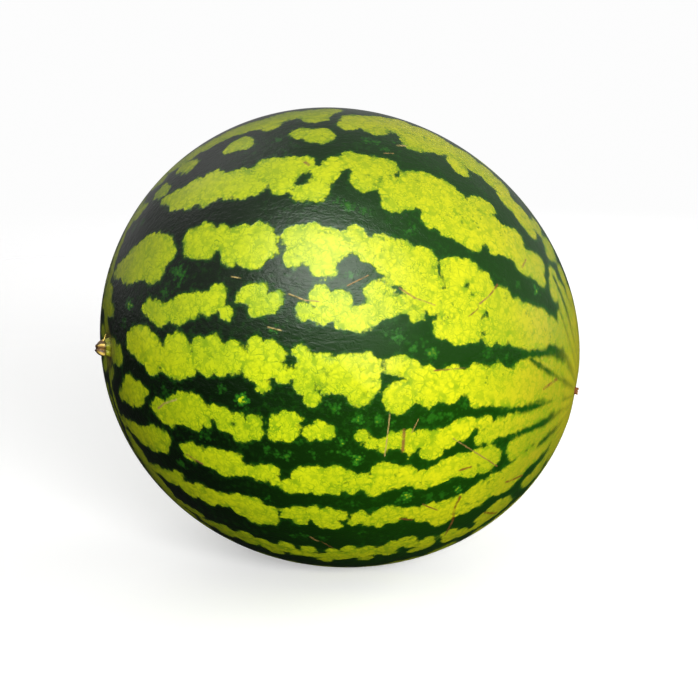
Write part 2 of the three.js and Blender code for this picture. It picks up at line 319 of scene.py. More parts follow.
        (127.5, -58, 2), (128.8, -51.6, 2), (130.3, -55.5, 2.7), (134, -50.4, 2.8),
        (134.6, -55.5, 3), (138, -55.5, 2.3), (137.7, -51, 1.7),
        (146.6, -48.8, 1.9), (148.5, -53, 2.5), (152, -49.8, 3), (156.5, -48.5, 3.2),
        (160.5, -47, 3.2), (153, -56, 2.4),
    ],
}

# Where round the fruit the near rows run into the flower end, in degrees.
FLOWER_RAYS = [85, 75, 66, 53, 40, 23, 7, -5, -17, -29, -40, -49, -58]

# Dark gaps inside the light patches, as lobes.
GAPS = [
    (113.8, 33, 0.5), (114.2, 30.3, 0.8), (115, 27.8, 0.6), (122.8, 28.6, 0.55), (127.6, 24, 0.3),
    (143, 27.6, 0.7), (104.2, 24.1, 1.2), (105.4, 23.6, 0.7), (83, 53.3, 0.4), (120.3, 51, 0.5),
    (122, 53.5, 0.3), (109.2, 30.4, 0.3),
    (100.6, 5.5, 0.5), (100.8, 2.2, 0.5), (102.5, 2.5, 0.4), (56.3, -9.5, 0.5),
    (75.9, -36, 0.5), (92.2, -36.5, 0.4), (124.2, -11.5, 1), (91.2, 52, 0.35), (79.3, 7.5, 0.6),
    (51, 11, 0.5), (37.6, 2, 0.6), (104.3, -20.5, 0.5), (119.7, -25, 0.6), (148, -23.5, 0.7),
    (145, -24.5, 0.7), (115, -52, 0.9), (115.2, -56, 0.9), (142.5, -50, 1.5), (142.8, -56, 1.5),
    (90.3, 80.5, 1.3), (92, 84.5, 1), (149.8, 88, 0.9), (144.5, 88.5, 0.9), (144.3, 76, 1),
]

# Dark stripes that run on into the flower end, each a chain of (along, around, radius).
FLOWER_STRIPES = [
    [(143, 19, 1), (153, 26, 0.9), (162, 31, 0.5)],
    [(143, 17, 0.8), (150, 16, 0.8), (162, 15, 0.4)],
    [(134, -4.5, 0.8), (143, -3.5, 1), (156, 0, 0.3)],
    [(140, -14, 0.8), (153, -12.5, 1.1), (165, -9.5, 0.4)],
    [(151, -26, 0.8), (158, -24.5, 1), (166, -25, 0.4)],
    [(149.5, 66, 0.8), (157, 63, 0.9), (163, 58.5, 0.4)],
    [(154.5, 52.5, 0.6), (164, 46, 0.4)],
]

# Green islets in the dark bands as (along, around, radius, brightness).
ISLETS = [
    (22.6, 41, 1.2, 0.9), (23.6, 38, 0.8, 0.8), (18.2, 32, 0.9, 0.4), (46.6, 36.5, 1.5, 0.45),
    (48.3, 34.4, 0.7, 0.7), (46.7, 32.8, 0.7, 0.5), (40.6, 31.9, 0.9, 0.4), (44.5, 38.2, 0.8, 0.4),
    (66.6, -3.8, 1.8, 1), (60.6, -1.4, 1, 0.35), (89.4, -4.5, 1.1, 0.55),
    (90, -3.6, 0.5, 0.8), (94.6, -6.8, 1.3, 0.65), (99.2, -6.9, 1.2, 0.6), (88, -2.8, 0.8, 0.4),
    (103.7, 13.1, 1.2, 0.6), (107.4, 11, 1.3, 0.5), (112, 10, 1.5, 0.55), (101, 13.6, 0.7, 0.4),
    (110, 12.6, 0.8, 0.4), (92.3, 43.5, 1.4, 0.45), (89.5, 45.2, 0.7, 0.4), (96, 42.8, 1, 0.35),
    (107.3, 40.2, 1.1, 0.45), (105.8, 38.5, 0.7, 0.4), (93, 26.5, 0.8, 0.45),
    (75.3, 14.2, 0.7, 0.7), (96.3, 66.8, 1.2, 0.45), (99, 67, 0.9, 0.5), (101, 64.4, 0.9, 0.4),
    (103.5, 69.2, 0.7, 0.4), (75.6, 69, 0.9, 0.4), (91, -12.4, 1, 0.75), (90, -14.4, 0.7, 0.5),
    (92, -15.6, 0.8, 0.5), (94.4, -16.9, 1.3, 0.75), (78.4, -16.8, 1.2, 0.5),
    (75.4, -16.8, 0.8, 0.4), (73, -16, 0.9, 0.4), (84.4, -15.6, 0.8, 0.45), (81, -13, 0.8, 0.4),
    (88, -15, 0.6, 0.4), (106.4, -28.8, 1.5, 0.7), (104.4, -30, 0.8, 0.5), (120.5, -29.8, 1.4, 0.7),
    (112, -30.4, 1.3, 0.35), (115.6, -30.6, 1, 0.35), (93.6, -29.8, 0.8, 0.35),
    (72.9, -31.2, 0.8, 0.45), (82, -43.6, 1, 0.45), (86.4, -43.6, 1, 0.35), (79, -44.8, 0.7, 0.4),
    (95, -41, 0.8, 0.35), (54.2, -18.3, 0.9, 0.45), (56.4, -17.4, 0.9, 0.4), (46, -36, 1.2, 0.45),
    (112, -6.2, 1.4, 0.4), (114.4, -5.6, 1.1, 0.4), (117.2, -5.4, 1, 0.45), (120.8, -2.3, 0.9, 0.4),
    (109.8, -6.8, 0.8, 0.4), (102.4, -7.4, 0.6, 0.5), (127.5, 13.3, 0.8, 0.35),
    (143.3, 45.8, 1, 0.85), (136.8, 41, 0.8, 0.3), (134, 14.5, 0.8, 0.3), (39.5, -7.8, 1.2, 0.25),
    (34, 79, 1, 0.35), (31, 86, 1.2, 0.35),
]

# Healed scratches as (along, around, along, around, half width in mm, paleness).
SCRATCHES = [
    (79.4, 22, 82.5, 20.6, 0.35, 0.7), (82.5, 20.6, 85.2, 20.3, 0.3, 0.5),
    (104.6, 24.3, 107.5, 22.9, 0.45, 0.25), (107.5, 22.9, 112.2, 22.3, 0.35, 0.3),
    (129.8, 35, 128, 31, 0.45, 0.1), (128, 31, 125.3, 27.4, 0.4, 0.3),
    (124, 24.6, 122.4, 22.6, 0.3, 0.1), (113.2, 6, 116.5, 6.7, 0.4, 0.1),
    (116.5, 6.7, 120.3, 7.6, 0.3, 0.25), (151, 7, 156.5, 13.4, 0.8, 0.1),
    (101.8, -6, 100.8, -15.5, 0.3, 0.65), (105.3, -9.8, 105.1, -14.8, 0.8, 0.1),
    (118.6, -12.6, 129, -21.3, 0.3, 0.35), (129, -21.3, 132.4, -25, 0.3, 0.2),
    (120.9, -22.9, 123.4, -22.7, 0.6, 0.05), (120.9, -33.8, 119.4, -38, 0.7, 0),
    (119.4, -38, 119.2, -44, 0.7, 0), (119.2, -44, 117.3, -51.5, 0.5, 0.1),
    (137.6, -36.8, 143.8, -39.8, 0.7, 0.05), (130.2, -49.8, 134.4, -57.5, 0.8, 0),
    (110.8, -33, 114, -36, 0.4, 0.1), (92.6, 24.1, 96.3, 26.2, 0.3, 0.3),
    (40.6, -11.9, 43.6, -9.6, 0.45, 0.9),
    (36.6, -16.6, 38.4, -14, 0.5, 0.5), (82.2, 57.6, 83, 56.6, 0.8, 0.2),
    (105, -36.9, 107.2, -37.9, 0.5, 0.05), (138.8, 53.4, 138, 50, 0.5, 0.3),
    (104.3, 68.2, 105.6, 68.9, 0.6, 1), (101.2, 63, 102.5, 63.6, 0.4, 0.5),
    (74.4, 14.6, 76.4, 14, 0.3, 0.9), (64.7, 28.5, 66, 28, 0.3, 0.8),
    (48.8, -29.5, 53.4, -29.2, 0.5, 0.2), (83.6, -44.2, 84.6, -45.2, 0.5, 0.4),
    (86.4, -46.2, 88.2, -48.2, 0.35, 0.2), (107.5, -9.5, 108.6, -7.2, 0.25, 0.4),
]


class FruitSizes(PropertyGroup):
    """Sizes of the fruit's skin."""

    long_radius: FloatProperty(
        name="Long Radius",
        description="Half of the fruit's length",
        default=0.145,
        unit="LENGTH",
    )
    round_radius: FloatProperty(
        name="Round Radius",
        description="Half of the fruit's width",
        default=float(FRUIT_HIGH[1] - FRUIT_LOW[1]) / 2,
        unit="LENGTH",
    )
    lean: FloatProperty(
        name="Lean",
        description="How far the long axis dips towards the flower end",
        default=np.radians(22.6),
        subtype="ANGLE",
    )
    swell: FloatProperty(
        name="Swell",
        description="Height of the three soft swellings round the outline",
        default=0.001,
        unit="LENGTH",
    )
    rest_height: FloatProperty(
        name="Rest Height",
        description="The fruit's middle above the flat spot",
        default=0.1351,
        unit="LENGTH",
    )
    rest_offset: FloatProperty(
        name="Rest Offset",
        description="The flat spot's middle from under the fruit's middle",
        default=0.005,
        unit="LENGTH",
    )
    rings: IntProperty(
        name="Rings", description="Rings of points from end to end", default=290, min=16
    )
    sides: IntProperty(
        name="Sides", description="Points round each ring", default=340, min=16
    )


class RindColours(PropertyGroup):
    """Colours of the rind."""

    light: FloatVectorProperty(
        name="Light Patches",
        description="Colour of the light patches towards the stem",
        default=(0.455, 0.512, 0.004),
        subtype="COLOR",
    )
    ripe: FloatVectorProperty(
        name="Ripe Patches",
        description="Colour of the light patches towards the flower",
        default=(0.49, 0.495, 0.005),
        subtype="COLOR",
    )
    vein: FloatVectorProperty(
        name="Veins",
        description="Colour of the fine net between the cells of the light patches",
        default=(0.12, 0.235, 0.003),
        subtype="COLOR",
    )
    dark: FloatVectorProperty(
        name="Dark Bands",
        description="Colour of the dark bands towards the stem",
        default=(0.0011, 0.0055, 0.0006),
        subtype="COLOR",
    )
    green: FloatVectorProperty(
        name="Green Bands",
        description="Colour of the dark bands towards the flower",
        default=(0.0043, 0.03, 0.0004),
        subtype="COLOR",
    )
    islet: FloatVectorProperty(
        name="Islets",
        description="Colour of the green islets in the dark bands",
        default=(0.021, 0.15, 0.007),
        subtype="COLOR",
    )
    flower_end: FloatVectorProperty(
        name="Flower End",
        description="Colour of the skin round the flower remnant",
        default=(0.34, 0.305, 0.009),
        subtype="COLOR",
    )
    stem_end: FloatVectorProperty(
        name="Stem End",
        description="Colour of the skin round the stem",
        default=(0.3, 0.29, 0.012),
        subtype="COLOR",
    )


class EndSizes(PropertyGroup):
    """Sizes and colours of the stem stub and the flower remnant."""

    stub_radius: FloatProperty(
        name="Stub Radius",
        description="Radius of the stem stub at its waist",
        default=0.0039,
        unit="LENGTH",
    )
    stub_length: FloatProperty(
        name="Stub Length",
        description="How far the stem stub stands out of the skin",
        default=0.0087,
        unit="LENGTH",
    )
    nub_radius: FloatProperty(
        name="Remnant Radius",
        description="Radius of the flower remnant where it meets the skin",
        default=0.0028,
        unit="LENGTH",
    )
    stub_colour: FloatVectorProperty(
        name="Stub",
        description="Colour of the dried stem",
        default=(0.2, 0.11, 0.03),
        subtype="COLOR",
    )
    # This colour is also the painted shade in the stub's grooves.
    cut_and_shade_colour: FloatVectorProperty(
        name="Stub End",
        description="Colour of the stem's broken end and creases",
        default=(0.03, 0.012, 0.005),
        subtype="COLOR",
    )
    nub_colour: FloatVectorProperty(
        name="Remnant",
        description="Colour of the withered flower",
        default=(0.11, 0.028, 0.01),
        subtype="COLOR",
    )


class StageSettings(PropertyGroup):
    """The floor, the lights and the camera."""

    floor_colour: FloatVectorProperty(
        name="Floor", description="Colour of the floor", default=(0.92, 0.92, 0.91),
        subtype="COLOR",
    )
    key_power: FloatProperty(
        name="Key Light", description="Power of the large front light", default=50.5, unit="POWER"
    )
    gloss_power: FloatProperty(
        name="Gloss Light", description="Power of the light that glosses the skin", default=14,
        unit="POWER",
    )
    back_power: FloatProperty(
        name="Back Light", description="Power of the light behind the fruit", default=17,
        unit="POWER",
    )
    side_power: FloatProperty(
        name="Side Light", description="Power of the light on the flower end", default=19,
        unit="POWER",
    )
    sky_power: FloatProperty(
        name="Sky Light", description="Power of the wide light above", default=1.5, unit="POWER"
    )
    camera_distance: FloatProperty(
        name="Camera Distance",
        description="From the camera to the fruit's middle",
        default=1.2,
        unit="LENGTH",
    )
    camera_height: FloatProperty(
        name="Camera Height",
        description="Angle of the camera above the horizon",
        default=np.radians(12),
        subtype="ANGLE",
    )


def unit(vectors):
    """Each vector divided by its own length."""
    return vectors / np.linalg.norm(vectors, axis=-1, keepdims=True)


def way_out(along, around):
    """Direction from the fruit's middle: (-cos along, -sin along cos around, sin along sin
    around), with each end pulled over by the square of the cosine, made one long."""
    c, s = np.cos(along), np.sin(along)
    parts = np.broadcast_arrays(-c, -s * np.cos(around), s * np.sin(around))
    way = np.stack(parts, -1).astype(float)
    stem, flower = np.maximum(c, 0) ** 2, np.maximum(-c, 0) ** 2
    way[..., 1] -= stem * STEM_END["near"] + flower * FLOWER_END["near"]
    way[..., 2] += stem * STEM_END["up"] + flower * FLOWER_END["up"]
    return unit(way)


def skin(sizes, along, around):
    """Point on the skin: the fruit's middle plus the way out times the radius of a leaning
    ellipsoid, with a third harmonic added round the outline, a bell-shaped hollow taken away at
    each end, and the height eased to zero over the last 2 mm above the flat spot."""
    way = way_out(along, around)
    x, y, z = way[..., 0], way[..., 1], way[..., 2]
    lean_c, lean_s = np.cos(sizes.lean), np.sin(sizes.lean)
    long = (x * lean_c - z * lean_s) / sizes.long_radius
    high = (x * lean_s + z * lean_c) / sizes.round_radius
    radius = 1 / np.sqrt(long**2 + (y / sizes.round_radius) ** 2 + high**2)
    turn = np.arctan2(-z, x) - SWELL_TURN
    swell = sizes.swell * np.maximum(1 - y * y, 0) ** SWELL_FADE
    radius = radius + swell * np.cos(SWELLINGS * turn)
    for end, angle in ((STEM_END, 0.0), (FLOWER_END, np.pi)):
        share = (along - angle) * sizes.round_radius / end["radius"]
        radius = radius - end["depth"] * np.exp(-HOLLOW_FALL * share**2)
    points = way * radius[..., None]
    points += np.array([-sizes.rest_offset, 0, sizes.rest_height])
    share = points[..., 2] / REST_BLEND
    eased = REST_BLEND * share * share * (2 - share)
    points[..., 2] = np.where(share < 0, 0, np.where(share < 1, eased, points[..., 2]))
    return points


def lobe_ways(lobes):
    """Directions of lobes given in degrees."""
    places = np.radians(np.array([lobe[:2] for lobe in lobes], float))
    return way_out(places[:, 0], places[:, 1])


def lobe_field(ways, lobes, blend):
    """How far each direction lies inside the union of round lobes, in degrees: blend times the
    logarithm of the sum of exp((radius - angle) / blend) over the lobes."""
    centres = lobe_ways(lobes)
    radii = np.array([lobe[2] for lobe in lobes], float)
    total = np.full(len(ways), 1e-30)
    for start in range(0, len(lobes), LOBES_AT_ONCE):
        part = slice(start, start + LOBES_AT_ONCE)
        cosines = np.clip(ways @ centres[part].T, -1, 1)
        inside = radii[part] - np.degrees(np.arccos(cosines))
        total += np.exp(np.maximum(inside, -LOBE_REACH) / blend).sum(1)
    return blend * np.log(total)


def flower_ray(around):
    """Lobes that carry a row on into the flower end, narrowing as the fruit does."""
    steps = np.arange(RAY_START, RAY_END, RAY_STEP)
    return [(along, around, RAY_RADIUS * np.sin(np.radians(along))) for along in steps]


def chain(stripe):
    """Lobes close together along a stripe's (along, around, radius) points."""
    along, around, radius = np.array(stripe, float).T
    steps = np.arange(along[0], along[-1], STRIPE_STEP)
    return list(zip(steps, np.interp(steps, along, around), np.interp(steps, along, radius)))


def far_row(row):
    """Where round the fruit a row of the far side lies, in degrees."""
    return FIRST_FAR_ROW - FAR_ROW_STEP * row


def hidden_rows():
    """Rows of lobes for the far side, in the manner of the near side's: each row wanders, its
    lobes swell and shrink, some stand aside of the row and some are left out."""
    draw = np.random.default_rng(FAR_ROW_SEED)
    lobes = []
    for row in range(FAR_ROWS):
        middle = far_row(row)
        phase = draw.uniform(0, TAU, 3)
        skip = 0
        along = draw.uniform(9, 13)
        while along < FAR_ROW_END:
            s = np.sin(np.radians(along))
            wander = 2.2 * np.sin(along / 17 + phase[0]) + 1.2 * np.sin(along / 7 + phase[1])
            swell = 1 + 0.3 * np.sin(along / 9 + phase[2])
            narrow = min(1, 1.15 * s + 0.12)
            radius = draw.uniform(2.1, 3.6) * swell * narrow
            aside = draw.choice([-1, 1]) * draw.uniform(0.2, 2.6)
            if skip > 0:
                skip -= 1
            else:
                lobes.append((along, middle + wander + aside, radius))
                if draw.random() < 0.45:
                    other = middle + wander - aside * draw.uniform(0.8, 1.6)
                    lobes.append((along + draw.uniform(-1, 1), other, radius * 0.8))
                if draw.random() < 0.07:
                    skip = int(draw.integers(1, 3))
            along += draw.uniform(2.3, 3.5) * narrow
        lobes += flower_ray(middle + wander)
    return lobes


def hidden_islets():
    """Small islets between the far side's rows."""
    draw = np.random.default_rng(FAR_ISLET_SEED)
    found = []
    for row in range(FAR_ROWS):
        for _ in range(FAR_ISLETS):
            along = draw.uniform(30, 145)
            around = far_row(row) + draw.choice([-1, 1]) * draw.uniform(6.5, 9)
            found.append((along, around, draw.uniform(0.7, 1.4), draw.uniform(0.3, 0.7)))
    return found


def stripe_field(ways):
    """Depth inside the light patches in mm: the lobes' union less the union of the gaps. The
    near lobes narrow towards the flower end and run on into it as rays."""
    near = []
    for along, around, radius in sum(PATCHES.values(), []):
        narrow = min(1, max(NARROWEST, 1 - (along - NARROW_START) / NARROW_RUN))
        near.append((along, around, radius * narrow))
    rays = [lobe for around in FLOWER_RAYS for lobe in flower_ray(around)]
    light = lobe_field(ways, near + rays + hidden_rows(), LIGHT_BLEND) - LIGHT_INSET
    dark = [lobe for stripe in FLOWER_STRIPES for lobe in chain(stripe)]
    gap = lobe_field(ways, GAPS + dark, GAP_BLEND) - GAP_INSET
    return np.minimum(light, -gap) * MM_PER_DEGREE + EDGE_SHIFT


def streaks(around):
    """Strength of the faint streaks that run into the flower end: two waves round the fruit,
    each with its length slowly varied."""
    slow = np.cos(22 * around + 1.5 * np.sin(3 * around))
    quick = np.cos(37 * around + 2 * np.sin(5 * around))
    return np.clip(0.45 * slow + 0.35 * quick, 0, 1)


def islet_fields(ways):
    """Depth inside the islets in mm, and the brightness of the nearest one."""
    islets = ISLETS + hidden_islets()
    centres = lobe_ways(islets)
    radii = np.array([islet[2] for islet in islets])
    bright = np.array([islet[3] for islet in islets])
    depth = radii - np.degrees(np.arccos(np.clip(ways @ centres.T, -1, 1)))
    best = depth.argmax(1)
    nearest = depth[np.arange(len(ways)), best]
    return nearest * MM_PER_DEGREE, bright[best]


def scratch_fields(ways):
    """For the nearest scratch: the signed distance across its line, the distance to the piece
    of line less its half width, both in mm, and its paleness."""
    start = lobe_ways([scratch[:2] for scratch in SCRATCHES])
    end = lobe_ways([scratch[2:4] for scratch in SCRATCHES])
    width = np.array([scratch[4] for scratch in SCRATCHES])
    pale = np.array([scratch[5] for scratch in SCRATCHES])
    run = end - start
    length = np.linalg.norm(run, axis=1)
    run = run / length[:, None]
    across = unit(np.cross(start + end, run))
    offset = ways[:, None] - start[None]
    share = np.clip((offset * run).sum(-1), 0, length)
    gap = np.linalg.norm(offset - share[..., None] * run, axis=-1)
    to_mm = np.degrees(1) * MM_PER_DEGREE
    far = gap * to_mm
    best = (far - width).argmin(1)
    rows = np.arange(len(ways))
    side = (offset * across).sum(-1)[rows, best] * to_mm
    return side / width[best], far[rows, best], pale[best]


def grid_faces(rows, columns):
    """Quads of a grid of points closed round its columns."""
    row = np.arange(rows - 1)[:, None]
    column = np.arange(columns)[None]
    after = (column + 1) % columns
    corners = [row * columns + column, (row + 1) * columns + column]
    corners += [(row + 1) * columns + after, row * columns + after]
    quads = np.stack([np.broadcast_to(corner, (rows - 1, columns)) for corner in corners], -1)
    return quads.reshape(-1, 4)


def capped(points):
    """A closed surface of rings (rings, sides, 3), with a fan to the middle of the first and
    last ring: its points and its faces as arrays of corners, quads first."""
    rings, sides = points.shape[:2]
    flat = points.reshape(-1, 3)
    first, last = points[0].mean(0), points[-1].mean(0)
    every = np.vstack([flat, first, last])
    quads = grid_faces(rings, sides)
    side = np.arange(sides)
    after = (side + 1) % sides
    low = np.stack([np.full(sides, rings * sides), side, after], 1)
    base = (rings - 1) * sides
    high = np.stack([np.full(sides, rings * sides + 1), base + after, base + side], 1)
    return every, quads, np.vstack([low, high])


def make_mesh(name, points, quads, triangles):
    """A smooth mesh object at the origin from points, quads and triangles."""
    mesh = bpy.data.meshes.new(name)
    mesh.vertices.add(len(points))
    mesh.vertices.foreach_set("co", np.asarray(points, np.float32).ravel())
    corners = np.concatenate([quads.ravel(), triangles.ravel()]).astype(np.int32)
    sizes = np.concatenate([np.full(len(quads), 4), np.full(len(triangles), 3)])
    starts = np.concatenate([[0], np.cumsum(sizes)[:-1]]).astype(np.int32)
    mesh.loops.add(len(corners))
    mesh.loops.foreach_set("vertex_index", corners)
    mesh.polygons.add(len(sizes))
    mesh.polygons.foreach_set("loop_start", starts)
    mesh.update(calc_edges=True)
    mesh.polygons.foreach_set("use_smooth", np.full(len(sizes), True))
    if mesh.validate():
        raise RuntimeError(name + " has faulty faces")
    piece = bpy.data.objects.new(name, mesh)
    bpy.context.scene.collection.objects.link(piece)
    return piece


def add_attribute(piece, name, values):
    """A number at each point of the mesh."""
    layer = piece.data.attributes.new(name, "FLOAT", "POINT")
    layer.data.foreach_set("value", np.asarray(values, np.float32))


class NodeKit:
    """Short ways to add shader nodes to one material."""

    def __init__(self, name):
        self.material = bpy.data.materials.new(name)
        self.material.use_nodes = True
        self.tree = self.material.node_tree
        self.tree.nodes.clear()
        self.shader = self.tree.nodes.new("ShaderNodeBsdfPrincipled")
        output = self.tree.nodes.new("ShaderNodeOutputMaterial")
        self.tree.links.new(self.shader.outputs[0], output.inputs["Surface"])
        self.places = self.tree.nodes.new("ShaderNodeTexCoord").outputs["Object"]

    def put(self, socket, value):
        """Links a socket, or sets a number or colour, on a node's input."""
        if isinstance(value, bpy.types.NodeSocket):
            self.tree.links.new(value, socket)
        elif hasattr(value, "__len__"):
            value = tuple(value)
            socket.default_value = value + (1.0,) * (len(socket.default_value) - len(value))
        else:
            socket.default_value = value

    def math(self, operation, a, b=0.0, c=0.0):
        node = self.tree.nodes.new("ShaderNodeMath")
        node.operation = operation
        for socket, value in zip(node.inputs, (a, b, c)):
            self.put(socket, value)
        return node.outputs[0]

    def mix(self, factor, a, b):
        """A colour between a and b."""
        node = self.tree.nodes.new("ShaderNodeMix")
        node.data_type = "RGBA"
        self.put(node.inputs["Factor"], factor)
        self.put(node.inputs[6], a)
        self.put(node.inputs[7], b)
        return node.outputs[2]

    def blend(self, factor, a, b):
        """A number between a and b."""
        return self.math("ADD", self.math("MULTIPLY", factor, self.math("SUBTRACT", b, a)), a)

    def step(self, value, low, high, to_low=0.0, to_high=1.0):
        """A smooth step from to_low to to_high as value goes from low to high."""
        node = self.tree.nodes.new("ShaderNodeMapRange")
        node.interpolation_type = "SMOOTHSTEP"
        for socket, number in zip(node.inputs, (value, low, high, to_low, to_high)):
            self.put(socket, number)
        return node.outputs[0]

    def noise(self, scale, detail=2.0, roughness=0.5, places=None, warp=0.0):
        node = self.tree.nodes.new("ShaderNodeTexNoise")
        self.put(node.inputs["Vector"], places or self.places)
        node.inputs["Scale"].default_value = scale
        node.inputs["Detail"].default_value = detail
        node.inputs["Roughness"].default_value = roughness
        node.inputs["Distortion"].default_value = warp
        return node.outputs["Fac"]

    def cells(self, scale, feature="F1", places=None):
        """Distance in a cell pattern: to its middle, or to its edge."""
        node = self.tree.nodes.new("ShaderNodeTexVoronoi")
        node.feature = feature
        self.put(node.inputs["Vector"], places or self.places)
        node.inputs["Scale"].default_value = scale
        if feature == "SMOOTH_F1":
            node.inputs["Smoothness"].default_value = 0.1
        return node.outputs["Distance"]

    def wavy(self, places, scale, reach):
        """Places pushed about by a noise of that scale, by up to half of reach."""
        noise = self.tree.nodes.new("ShaderNodeTexNoise")
        self.put(noise.inputs["Vector"], places)
        noise.inputs["Scale"].default_value = scale
        push = self.tree.nodes.new("ShaderNodeVectorMath")
        push.operation = "MULTIPLY_ADD"
        self.put(push.inputs[0], noise.outputs["Color"])
        push.inputs[1].default_value = (reach, reach, reach)
        self.put(push.inputs[2], places)
        return push.outputs[0]

    def attribute(self, name):
        """The number that each point of the mesh carries under that name."""
        node = self.tree.nodes.new("ShaderNodeAttribute")
        node.attribute_name = name
        return node.outputs["Fac"]

    def stretched(self, scale):
        """Object coordinates stretched by a scale on each axis."""
        node = self.tree.nodes.new("ShaderNodeMapping")
        self.put(node.inputs["Vector"], self.places)
        node.inputs["Scale"].default_value = scale
        return node.outputs[0]

    def bump(self, height, distance, strength, onto=None):
        node = self.tree.nodes.new("ShaderNodeBump")
        node.inputs["Strength"].default_value = strength
        node.inputs["Distance"].default_value = distance
        self.put(node.inputs["Height"], height)
        if onto:
            self.put(node.inputs["Normal"], onto)
        return node.outputs[0]


def patch_edge(kit, along):
    """Depth inside the light patches in mm, with their edges scalloped by cells of about 6 mm
    and frayed by fine noise, and then the two noises on their own."""
    scallop = kit.math("SUBTRACT", 0.42, kit.cells(185, "SMOOTH_F1"))
    ragged = kit.math("SUBTRACT", kit.noise(330, 2.0, 0.55), 0.5)
    fray = kit.math("SUBTRACT", kit.noise(1100, 2.0, 0.6), 0.5)
    small = kit.math("SUBTRACT", 0.42, kit.cells(380, "SMOOTH_F1"))
    uneven = kit.math("MULTIPLY_ADD", small, 1.6, kit.math("MULTIPLY", scallop, 2.2))
    uneven = kit.math("MULTIPLY_ADD", ragged, 0.8, uneven)
    uneven = kit.math("MULTIPLY_ADD", fray, 1.3, uneven)
    calmer = kit.step(along, 0.72, 0.86, 1.0, 0.35)
    edge = kit.math("MULTIPLY_ADD", uneven, calmer, kit.attribute("stripe"))
    return edge, ragged, fray


def patch_veins(kit, along, edge, tone):
    """Strength of the veins in the light patches: a fine net between cells, flecks, wider
    crevices and winding folds."""
    patchy = kit.noise(150, 2.0)
    bent = kit.wavy(kit.places, 260, 0.004)
    net = kit.step(kit.cells(330, "DISTANCE_TO_EDGE", bent), 0.0, 0.28, 0.5, 0.0)
    net = kit.math("MAXIMUM", net, kit.step(kit.cells(330, "F1", bent), 0.4, 0.68, 0.0, 0.85))
    net = kit.math("MULTIPLY", net, kit.step(kit.noise(190, 2.0), 0.35, 0.6, 0.2, 1.0))
    fleck = kit.step(kit.noise(400, 3.0, 0.7), 0.5, 0.7, 0.0, 0.6)
    crevice = kit.step(kit.cells(150, "DISTANCE_TO_EDGE", bent), 0.0, 0.09, 0.9, 0.0)
    crevice = kit.math("MULTIPLY", crevice, kit.step(patchy, 0.36, 0.6))
    fold = kit.math("ABSOLUTE", kit.math("SUBTRACT", kit.noise(170, 3.0, 0.55, warp=0.5), 0.5))
    fold = kit.math("MULTIPLY", kit.step(fold, 0.004, 0.03, 1.0, 0.0), kit.step(tone, 0.35, 0.55))
    near_edge = kit.step(edge, 0.5, 5.0, 0.95, 0.6)
    veins = kit.math("MAXIMUM", net, fleck)
    veins = kit.math("MAXIMUM", veins, kit.math("MAXIMUM", crevice, fold))
    veins = kit.math("MULTIPLY", veins, near_edge)
    return kit.math("MULTIPLY", veins, kit.step(along, 0.66, 0.9, 1.0, 0.95))


def patch_colour(kit, colours, along, tone, veins):
    """Lime patches that ripen to yellow towards the flower, with veins and green specks."""
    colour = kit.mix(kit.step(along, 0.42, 0.62), colours.light, colours.ripe)
    colour = kit.mix(kit.step(along, 0.64, 0.86), colour, colours.flower_end)
    colour = kit.mix(kit.step(tone, 0.35, 0.75, 0.0, 0.3), colour, colours.vein)
    colour = kit.mix(veins, colour, colours.vein)
    specks = kit.step(kit.noise(230, 3.0, 0.65), 0.55, 0.68)
    specks = kit.math("MULTIPLY", specks, kit.step(kit.noise(45, 2.0), 0.48, 0.6))
    specks = kit.math("MULTIPLY", specks, kit.step(along, 0.4, 0.55, 0.3, 0.75))
    return kit.mix(specks, colour, SPECK_GREEN)


def band_colour(kit, colours, along, tone, fringe):
    """Dark bands, greener towards the flower, mottled, with a green fringe at the patches."""
    band = kit.mix(kit.step(along, 0.28, 0.66), colours.dark, colours.green)
    mottle = kit.step(kit.noise(300, 3.0, 0.65), 0.48, 0.72)
    mottle = kit.math("MULTIPLY", mottle, kit.step(tone, 0.4, 0.62))
    band = kit.mix(kit.math("MULTIPLY", mottle, 0.16), band, colours.islet)
    return kit.mix(kit.math("MULTIPLY", fringe, 0.3), band, colours.islet)


def with_islets(kit, colours, band, light_colour, ragged, fray):
    """The dark bands with their islets, each a cluster of dots round a light heart."""
    dots = kit.math("SUBTRACT", 0.36, kit.cells(430))
    depth = kit.math("MULTIPLY_ADD", ragged, 4.0, kit.attribute("islet"))
    depth = kit.math("MULTIPLY_ADD", dots, 5.0, depth)
    depth = kit.math("MULTIPLY_ADD", fray, 3.0, depth)
    bright = kit.attribute("islet_light")
    strength = kit.math("MULTIPLY", kit.step(depth, -2.0, 1.6), kit.math("MINIMUM", bright, 0.8))
    band = kit.mix(strength, band, colours.islet)
    heart = kit.math("MULTIPLY", kit.step(depth, 1.0, 3.2), kit.step(bright, 0.35, 1.0))
    return kit.mix(heart, band, light_colour)


def with_ends(kit, colours, rind, along, ragged):
    """The rind with both ends faded to one tone, the bands still faintly there; the flower's disk is
    ripe yellow lifted by painted light.
    """
    flower = kit.step(kit.math("MULTIPLY_ADD", ragged, 0.05, along), 0.84, 0.96, 0.0, 0.6)
    streak = kit.math("MULTIPLY", kit.attribute("streak"), kit.step(along, 0.995, 0.93, 0.0, 0.6))
    # The disk round the flower: ripe yellow of its own, lifted as painted light for the bright rim.
    end_colour = kit.mix(kit.step(along, 0.86, 0.94), colours.flower_end, DISK_YELLOW_AND_RIM_LIGHT)
    end_colour = kit.mix(streak, end_colour, STREAK_GREEN)
    rind = kit.mix(flower, rind, end_colour)
    stem = kit.step(along, 0.04, 0.02, 0.0, 0.6)
    rind = kit.mix(stem, rind, colours.stem_end)
    return kit.mix(kit.step(along, 0.026, 0.014, 0.0, 0.8), rind, STEM_BROWN)


